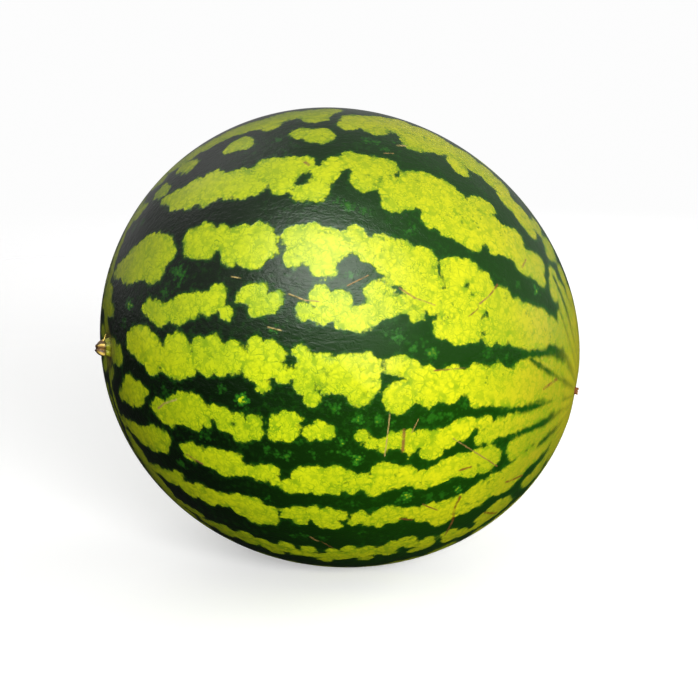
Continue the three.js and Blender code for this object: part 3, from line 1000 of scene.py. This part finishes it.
def scratch_line(kit, ragged):
    """Strength of the healed scratches."""
    across = kit.math("ABSOLUTE", kit.math("MULTIPLY_ADD", ragged, 1.6, kit.attribute("scratch")))
    line = kit.step(across, 1.9, 0.5)
    line = kit.math("MULTIPLY", line, kit.step(kit.attribute("scratch_far"), 2.4, 1.2))
    return kit.math("MULTIPLY", line, kit.step(kit.noise(420, 1.0), 0.3, 0.6, 0.35, 0.9))


def skin_relief(kit, along, light, veins, line):
    """Normals of low ripples in the skin, creases in the dark bands and a net of cells in the
    light patches."""
    ripples = kit.bump(kit.noise(60, 2.0), 0.0012, 0.5)
    creases = kit.noise(420, 3.0, 0.6, places=kit.stretched((0.45, 1.0, 1.0)), warp=0.6)
    dark = kit.math("SUBTRACT", 1.0, light)
    relief = kit.math("MULTIPLY", dark, kit.step(along, 0.25, 0.6, 2.0, 0.9))
    height = kit.math("MULTIPLY", creases, kit.math("ADD", relief, 0.25))
    height = kit.math("MULTIPLY_ADD", veins, -0.25, height)
    height = kit.math("MULTIPLY_ADD", line, 0.4, height)
    return kit.bump(height, 0.0005, 0.42, onto=ripples)


def rind_material(colours):
    """Light patches with a fine cellular net on dark green bands, with islets and scratches."""
    kit = NodeKit("rind")
    along = kit.attribute("along")
    tone = kit.noise(28, 3.0)
    edge, ragged, fray = patch_edge(kit, along)
    soft = kit.math(
        "ADD",
        kit.step(along, 0.7, 0.95, 0.75, 1.9),
        kit.step(along, 0.15, 0.02, 0.0, 0.4),
    )
    light = kit.step(edge, kit.math("MULTIPLY", soft, -1.0), soft)
    fringe = kit.step(edge, kit.math("MULTIPLY", soft, -3.2), kit.math("MULTIPLY", soft, 0.8))

    veins = patch_veins(kit, along, edge, tone)
    light_colour = patch_colour(kit, colours, along, tone, veins)
    band = band_colour(kit, colours, along, tone, fringe)
    band = with_islets(kit, colours, band, light_colour, ragged, fray)
    rind = kit.mix(light, band, light_colour)
    rind = with_ends(kit, colours, rind, along, ragged)
    line = scratch_line(kit, ragged)
    pale = kit.math("MULTIPLY", kit.attribute("scratch_pale"), 0.7)
    healed = kit.mix(pale, HEALED_BROWN, HEALED_PALE)
    rind = kit.mix(line, rind, healed)
    kit.put(kit.shader.inputs["Base Color"], rind)

    rough = kit.blend(light, 0.3, 0.37)
    rough = kit.math("MULTIPLY_ADD", kit.math("SUBTRACT", kit.noise(90, 3.0), 0.5), 0.1, rough)
    rough = kit.math("MULTIPLY_ADD", line, 0.2, rough)
    kit.put(kit.shader.inputs["Roughness"], rough)
    kit.shader.inputs["IOR"].default_value = 1.45
    kit.put(kit.shader.inputs["Normal"], skin_relief(kit, along, light, veins, line))
    return kit.material


def stem_material(sizes):
    """Dried stem: pale ridges brightened to gold as a painted highlight, painted shade in the
    grooves at its foot and its waist, and a dark broken end.
    """
    kit = NodeKit("dried_stem")
    fibres = kit.noise(900, 3.0, 0.6, places=kit.stretched((0.25, 1.0, 1.0)))
    colour = kit.mix(kit.step(fibres, 0.35, 0.65), sizes.cut_and_shade_colour, sizes.stub_colour)
    # Painted highlight: the rib crests and the loose fibre turn a bright gold, their own paler
    # colour lifted to stand for the shine.
    colour = kit.mix(kit.attribute("ridge"), colour, RIDGE_GOLD_AND_HIGHLIGHT)
    fresh = kit.mix(kit.step(fibres, 0.35, 0.65), FRESH_GREEN, FRESH_YELLOW)
    colour = kit.mix(kit.attribute("fresh"), colour, fresh)
    # Painted shade in the grooves at the foot and the waist, and the dark broken end.
    colour = kit.mix(kit.attribute("groove_shade_and_end"), colour, sizes.cut_and_shade_colour)
    kit.put(kit.shader.inputs["Base Color"], colour)
    kit.put(kit.shader.inputs["Roughness"], kit.step(fibres, 0.3, 0.7, 0.45, 0.25))
    kit.put(kit.shader.inputs["Normal"], kit.bump(fibres, 0.0004, 0.8))
    return kit.material


def remnant_material(sizes):
    """Withered flower: dark red brown with paler torn edges."""
    kit = NodeKit("withered_flower")
    grain = kit.noise(1500, 3.0, 0.6)
    colour = kit.mix(kit.step(grain, 0.4, 0.7), sizes.nub_colour, REMNANT_BROWN)
    colour = kit.mix(kit.attribute("ridge"), colour, REMNANT_PALE)
    kit.put(kit.shader.inputs["Base Color"], colour)
    kit.put(kit.shader.inputs["Roughness"], kit.step(grain, 0.3, 0.7, 0.9, 0.7))
    kit.put(kit.shader.inputs["Normal"], kit.bump(grain, 0.0003, 0.8))
    return kit.material


def end_axes(out):
    """Two directions square to the way out."""
    across = unit(np.cross((0.0, 1.0, 0.0), out))
    return across, unit(np.cross(across, out))


def standing(foot, out, heights, radii, rib, sides, droop=0.0):
    """Rings about the way out: at each height, the foot plus height along the way out plus a
    droop that grows with the height, plus radius times (1 + rib cos(END_RIBS turn)) round it,
    with the ribs twisting as they rise."""
    across, other = end_axes(out)
    turn = np.linspace(0, TAU, sides, endpoint=False)
    lift = np.maximum(heights, 0)
    middle = foot + heights[:, None] * out
    middle = middle + (droop * lift)[:, None] * np.array([0, 0, -1.0])
    twist = RIB_TWIST * lift[:, None] / TWIST_LENGTH
    size = radii[:, None] * (1 + rib[:, None] * np.cos(END_RIBS * turn + twist))
    ring = np.cos(turn)[:, None] * across + np.sin(turn)[:, None] * other
    return middle[:, None] + size[..., None] * ring[None]


def smooth_profile(pairs, count):
    """A profile's (radius, height) pairs joined by straight lines and then softened."""
    pairs = np.array(pairs, float)
    share = np.linspace(0, len(pairs) - 1, count)
    rows = np.stack([np.interp(share, np.arange(len(pairs)), pairs[:, k]) for k in (0, 1)], 1)
    for _ in range(3):
        rows[1:-1] = (rows[:-2] + 2 * rows[1:-1] + rows[2:]) / 4
    return rows[:, 0], rows[:, 1]


def finish_piece(piece, material, node):
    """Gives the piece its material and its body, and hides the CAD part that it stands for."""
    piece.data.materials.append(material)
    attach(piece, "root")
    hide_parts(node)


class MELON_OT_fruit(Operator):
    """Makes the fruit: a leaning ellipsoid with hollows at its ends and striped skin"""

    bl_idname = "melon.fruit"
    bl_label = "Fruit"

    def execute(self, context):
        sizes = context.scene.melon_fruit
        share = np.arange(1, sizes.rings) / sizes.rings
        along = np.pi * (share - RING_CROWDING * np.sin(TAU * share) / TAU)
        around = np.pi + np.linspace(0, TAU, sizes.sides, endpoint=False)
        along_grid, around_grid = np.meshgrid(along, around, indexing="ij")
        points, quads, fans = capped(skin(sizes, along_grid, around_grid))
        points[-2:] = skin(sizes, np.array([0, np.pi]), np.zeros(2))
        piece = make_mesh("watermelon_fruit", points, quads, fans)

        every_along = np.concatenate([along_grid.ravel(), [0, np.pi]])
        every_around = np.concatenate([around_grid.ravel(), [0, 0]])
        ways = way_out(every_along, every_around)
        islet, islet_light = islet_fields(ways)
        scratch, scratch_far, scratch_pale = scratch_fields(ways)
        add_attribute(piece, "along", every_along / np.pi)
        add_attribute(piece, "stripe", stripe_field(ways))
        add_attribute(piece, "streak", streaks(every_around))
        add_attribute(piece, "islet", islet)
        add_attribute(piece, "islet_light", islet_light)
        add_attribute(piece, "scratch", scratch)
        add_attribute(piece, "scratch_far", scratch_far)
        add_attribute(piece, "scratch_pale", scratch_pale)
        self.unwrap(piece, sizes, every_along)
        finish_piece(piece, rind_material(context.scene.melon_rind), "fruit")
        return {"FINISHED"}

    def unwrap(self, piece, sizes, along):
        """The map: around across the sheet, along up it, with the seam at the back."""
        mesh = piece.data
        corner = np.zeros(len(mesh.loops), np.int32)
        mesh.loops.foreach_get("vertex_index", corner)
        column = (corner % sizes.sides).astype(float)
        quads = (sizes.rings - 2) * sizes.sides * 4
        wide = column[:quads].reshape(-1, 4)
        wide[:, 2:] = wide[:, :1] + 1
        fans = column[quads:].reshape(-1, 3)
        first = np.tile(np.arange(sizes.sides), 2)
        fans[:, 0] = first + 0.5
        fans[: sizes.sides, 1] = first[: sizes.sides]
        fans[: sizes.sides, 2] = first[: sizes.sides] + 1
        fans[sizes.sides :, 1] = first[sizes.sides :] + 1
        fans[sizes.sides :, 2] = first[sizes.sides :]
        across = np.concatenate([wide.ravel(), fans.ravel()]) / sizes.sides
        layer = mesh.uv_layers.new(name="OFBake")
        places = np.stack([across, along[corner] / np.pi], 1)
        layer.data.foreach_set("uv", places.astype(np.float32).ravel())


class MELON_OT_stem_stub(Operator):
    """Makes the dried stub of the stem, with its ribs, broken end and a loose fibre"""

    bl_idname = "melon.stem_stub"
    bl_label = "Stem Stub"

    def execute(self, context):
        ends = context.scene.melon_ends
        fruit = context.scene.melon_fruit
        foot = skin(fruit, np.array(0.0), np.array(0.0))
        out = way_out(np.array(0.0), np.array(0.0))
        wide = ends.stub_radius / STUB_WAIST * MM
        tall = ends.stub_length / STUB_TALL * MM
        radii, heights = smooth_profile(STUB_PROFILE, STUB_RINGS)
        lift = np.clip(heights / 8, 0, 1)
        rib = 0.05 + 0.09 * np.sin(np.pi * np.clip(lift + 0.1, 0, 1))
        rings = standing(foot, out, heights * tall, radii * wide, rib, STUB_SIDES, STUB_DROOP)
        turn = np.linspace(0, TAU, STUB_SIDES, endpoint=False)
        draw = np.random.default_rng(STUB_SEED)
        middle = rings.mean(1, keepdims=True)
        wrinkle = 0
        slant = 4 * lift[:, None]
        for waves in (2, 3, 7, 12):
            depth = draw.uniform(0.4, 1)
            wrinkle = wrinkle + depth * np.cos(waves * turn[None] + slant + draw.uniform(0, TAU))
        rings = middle + (rings - middle) * (1 + 0.035 * wrinkle)[..., None]
        order = np.arange(STUB_RINGS)
        torn = (order > STUB_TORN_RING)[:, None] * (np.cos(3 * turn + 1) + np.cos(8 * turn))
        rings = rings + (0.35 * MM * torn)[..., None] * out
        points, quads, fans = capped(rings)
        # Painted highlight: strength of the bright gold along the rib crests, which are also paler
        # of their own.
        ridge = np.clip(np.cos(END_RIBS * turn[None] + RIB_TWIST * lift[:, None]), 0, 1) ** 2 * 0.9
        ridge = ridge * (order < STUB_RIDGE_RINGS)[:, None]
        # Painted shade in the grooves at the foot and the waist, and the darkness of the broken end,
        # ring by ring.
        groove_shade_and_end = np.repeat(np.interp(order, GROOVE_SHADE_AND_END_RINGS, GROOVE_SHADE_AND_END_DARKNESS), STUB_SIDES)
        fresh = np.repeat(np.interp(order, FRESH_RINGS, [1, 0]), STUB_SIDES)

        strand, strand_quads, strand_fans = capped(self.fibre(foot, out))
        start = len(points)
        every = np.vstack([points, strand])
        piece = make_mesh(
            "stem_stub_dried",
            every,
            np.vstack([quads, strand_quads + start]),
            np.vstack([fans, strand_fans + start]),
        )
        pale = np.ones(len(strand))
        add_attribute(piece, "ridge", np.concatenate([ridge.ravel(), [0, 0], pale]))
        add_attribute(piece, "groove_shade_and_end", np.concatenate([groove_shade_and_end, [1, 1], 0 * pale]))
        add_attribute(piece, "fresh", np.concatenate([fresh, [0, 0], 0 * pale]))
        finish_piece(piece, stem_material(ends), "stem_stub")
        return {"FINISHED"}

    def fibre(self, foot, out):
        """A thin strand peeled off the stub: a circle carried along a curve that leaves the
        stub upwards and curls back towards the skin, thinning to its tip."""
        share = np.linspace(0, 1, 24)[:, None]
        up = np.array([0, 0, 1.0])
        path = foot + out * (4.2 - 2.6 * share + 0.6 * share**2) * MM
        path = path + up * (3.6 + 3.2 * share + 1.6 * share**2) * MM
        turn = np.linspace(0, TAU, 10, endpoint=False)
        along = unit(np.gradient(path, axis=0))
        side = unit(np.cross((0.0, 1.0, 0.0), along))
        over = np.cross(side, along)
        size = (0.4 - 0.26 * share[:, 0]) * MM
        ring = np.cos(turn)[:, None] * side[:, None] + np.sin(turn)[:, None] * over[:, None]
        return path[:, None] + size[:, None, None] * ring


class MELON_OT_blossom_nub(Operator):
    """Makes the withered remnant of the flower, with its torn five-lobed rim"""

    bl_idname = "melon.blossom_nub"
    bl_label = "Flower Remnant"

    def execute(self, context):
        ends = context.scene.melon_ends
        fruit = context.scene.melon_fruit
        foot = skin(fruit, np.array(np.pi), np.array(0.0))
        out = way_out(np.array(np.pi), np.array(0.0))
        wide = ends.nub_radius / REMNANT_FOOT * MM
        radii, heights = smooth_profile(REMNANT_PROFILE, REMNANT_RINGS)
        rib = np.interp(heights, [0, 1, 2.4], [0.03, 0.12, 0.3])
        rings = standing(foot, out, heights * MM, radii * wide, rib, REMNANT_SIDES)
        turn = np.linspace(0, TAU, REMNANT_SIDES, endpoint=False)
        high = np.clip(heights - 1.2, 0, 2)[:, None]
        torn = high * (0.25 * np.cos(END_RIBS * turn) + 0.12 * np.cos(11 * turn + 1))
        rings = rings + (torn * MM)[..., None] * out
        points, quads, fans = capped(rings)
        ridge = np.clip(high * (0.6 + 0.4 * np.cos(END_RIBS * turn)), 0, 1)
        piece = make_mesh("blossom_remnant", points, quads, fans)
        add_attribute(piece, "ridge", np.concatenate([ridge.ravel(), [0, 0]]))
        finish_piece(piece, remnant_material(ends), "blossom_nub")
        return {"FINISHED"}


def area_light(name, way, distance, width, power, target):
    """A round soft light at a distance from the target, facing it."""
    lamp = bpy.data.lights.new(name, "AREA")
    lamp.shape = "DISK"
    lamp.size = width
    lamp.energy = power
    light = bpy.data.objects.new(name, lamp)
    place = np.array(target) + unit(np.array(way, float)) * distance
    light.location = place
    aim(light, target)
    bpy.context.scene.collection.objects.link(light)
    return light


def aim(thing, target):
    """Turns a light or camera so that its -Z axis points at the target."""
    run = Vector(target) - thing.location
    thing.rotation_euler = run.to_track_quat("-Z", "Y").to_euler()


class MELON_OT_stage(Operator):
    """Makes the floor, the lights and the camera"""

    bl_idname = "melon.stage"
    bl_label = "Stage"

    def execute(self, context):
        stage = context.scene.melon_stage
        fruit = context.scene.melon_fruit
        middle = (-fruit.rest_offset, 0.0, fruit.rest_height)
        self.floor(stage)
        self.world(context.scene)
        key = area_light("key_light", (0.24, -0.93, 0.17), 1.7, 0.9, stage.key_power, middle)
        key.visible_glossy = False
        above = (-0.05, -0.73, 0.68)
        gloss = area_light("gloss_light", above, 1.2, 1.0, stage.gloss_power, middle)
        gloss.visible_diffuse = False
        side = area_light("side_light", (0.9, 0.45, 0.08), 1.6, 1.0, stage.side_power, middle)
        side.visible_glossy = False
        back = area_light("back_light", (0.15, 1, 0.06), 1.8, 1.2, stage.back_power, middle)
        back.visible_glossy = False
        area_light("sky_light", (-0.6, 0.5, 0.9), 1.6, 1.0, stage.sky_power, middle)
        self.camera(context.scene, stage, middle)
        context.scene.view_settings.view_transform = "Standard"
        return {"FINISHED"}

    def floor(self, stage):
        """A round floor: rings of growing radius round the middle, level with the flat spot. It
        looks white, lights the fruit only a little from below and fades out into the
        background."""
        radii = np.linspace(0.2, 1, FLOOR_RINGS) ** 2 * FLOOR_RADIUS
        radii = np.concatenate([[0.05], radii])
        turn = np.linspace(0, TAU, FLOOR_SIDES, endpoint=False)
        flat = radii[:, None, None] * np.stack([np.cos(turn), np.sin(turn), 0 * turn], -1)[None]
        points = np.vstack([flat.reshape(-1, 3), [0, 0, 0]])
        points[:, 2] = FRUIT_LOW[2]
        side = np.arange(FLOOR_SIDES)
        middle = np.full(FLOOR_SIDES, len(points) - 1)
        fan = np.stack([middle, side, (side + 1) % FLOOR_SIDES], 1)
        piece = make_mesh("floor", points, grid_faces(len(radii), FLOOR_SIDES), fan)
        kit = NodeKit("floor_cover")
        nodes, links = kit.tree.nodes, kit.tree.links
        seen = nodes.new("ShaderNodeLightPath").outputs["Is Camera Ray"]
        bounce = tuple(FLOOR_BOUNCE * part for part in stage.floor_colour)
        colour = kit.mix(seen, bounce, stage.floor_colour)
        kit.put(kit.shader.inputs["Base Color"], colour)
        kit.shader.inputs["Roughness"].default_value = 0.9
        kit.shader.inputs["Emission Color"].default_value = (1, 1, 1, 1)
        kit.put(kit.shader.inputs["Emission Strength"], kit.math("MULTIPLY", seen, FLOOR_GLOW))
        kit.shader.inputs["Specular IOR Level"].default_value = 0.1
        length = nodes.new("ShaderNodeVectorMath")
        length.operation = "LENGTH"
        links.new(kit.places, length.inputs[0])
        clear = nodes.new("ShaderNodeBsdfTransparent")
        mixed = nodes.new("ShaderNodeMixShader")
        fade = kit.math("MULTIPLY", kit.step(length.outputs["Value"], 0.35, 1.6), seen)
        links.new(fade, mixed.inputs[0])
        links.new(kit.shader.outputs[0], mixed.inputs[1])
        links.new(clear.outputs[0], mixed.inputs[2])
        output = next(node for node in nodes if node.type == "OUTPUT_MATERIAL")
        links.new(mixed.outputs[0], output.inputs["Surface"])
        piece.data.materials.append(kit.material)

    def world(self, scene):
        """Even light all round, with a brighter background behind it."""
        world = bpy.data.worlds.new("studio")
        world.use_nodes = True
        scene.world = world
        back = world.node_tree.nodes["Background"]
        back.inputs["Color"].default_value = (1, 1, 1, 1)
        nodes, links = world.node_tree.nodes, world.node_tree.links
        strength = nodes.new("ShaderNodeMapRange")
        links.new(nodes.new("ShaderNodeLightPath").outputs["Is Camera Ray"], strength.inputs[0])
        strength.inputs["To Min"].default_value = WORLD_LIGHT
        strength.inputs["To Max"].default_value = WORLD_SEEN
        links.new(strength.outputs[0], back.inputs["Strength"])

    def camera(self, scene, stage, middle):
        """A long lens in front of the fruit, looking a little down."""
        up, level = np.sin(stage.camera_height), np.cos(stage.camera_height)
        right, rise = np.array([1.0, 0, 0]), np.array([0, up, level])
        aside = CAMERA_ASIDE * right - CAMERA_ASIDE * rise
        data = bpy.data.cameras.new("camera")
        data.sensor_width = 36
        data.lens = CAMERA_LENS
        data.clip_end = 100
        camera = bpy.data.objects.new("camera", data)
        target = np.array(middle) + aside
        camera.location = target - stage.camera_distance * np.array([0, level, -up])
        aim(camera, tuple(target))
        scene.collection.objects.link(camera)
        scene.camera = camera


class MELON_PT_panel(Panel):
    """Lists the watermelon's sizes, colours and pieces"""

    bl_label = "Watermelon"
    bl_space_type = "VIEW_3D"
    bl_region_type = "UI"
    bl_category = "Watermelon"

    def draw(self, context):
        for group in GROUPS:
            box = self.layout.box()
            settings = getattr(context.scene, group)
            for name in type(settings).__annotations__:
                box.prop(settings, name)
        for step in STEPS:
            self.layout.operator(step.bl_idname)


GROUPS = {
    "melon_fruit": FruitSizes,
    "melon_rind": RindColours,
    "melon_ends": EndSizes,
    "melon_stage": StageSettings,
}
STEPS = (MELON_OT_fruit, MELON_OT_stem_stub, MELON_OT_blossom_nub, MELON_OT_stage)
CLASSES = (*GROUPS.values(), *STEPS, MELON_PT_panel)


def register():
    for cls in CLASSES:
        bpy.utils.register_class(cls)
    for name, group in GROUPS.items():
        setattr(bpy.types.Scene, name, PointerProperty(type=group))


def unregister():
    for name in GROUPS:
        delattr(bpy.types.Scene, name)
    for cls in reversed(CLASSES):
        bpy.utils.unregister_class(cls)


def main():
    register()
    bpy.ops.melon.fruit()
    bpy.ops.melon.stem_stub()
    bpy.ops.melon.blossom_nub()
    bpy.ops.melon.stage()


if __name__ == "__main__":
    main()
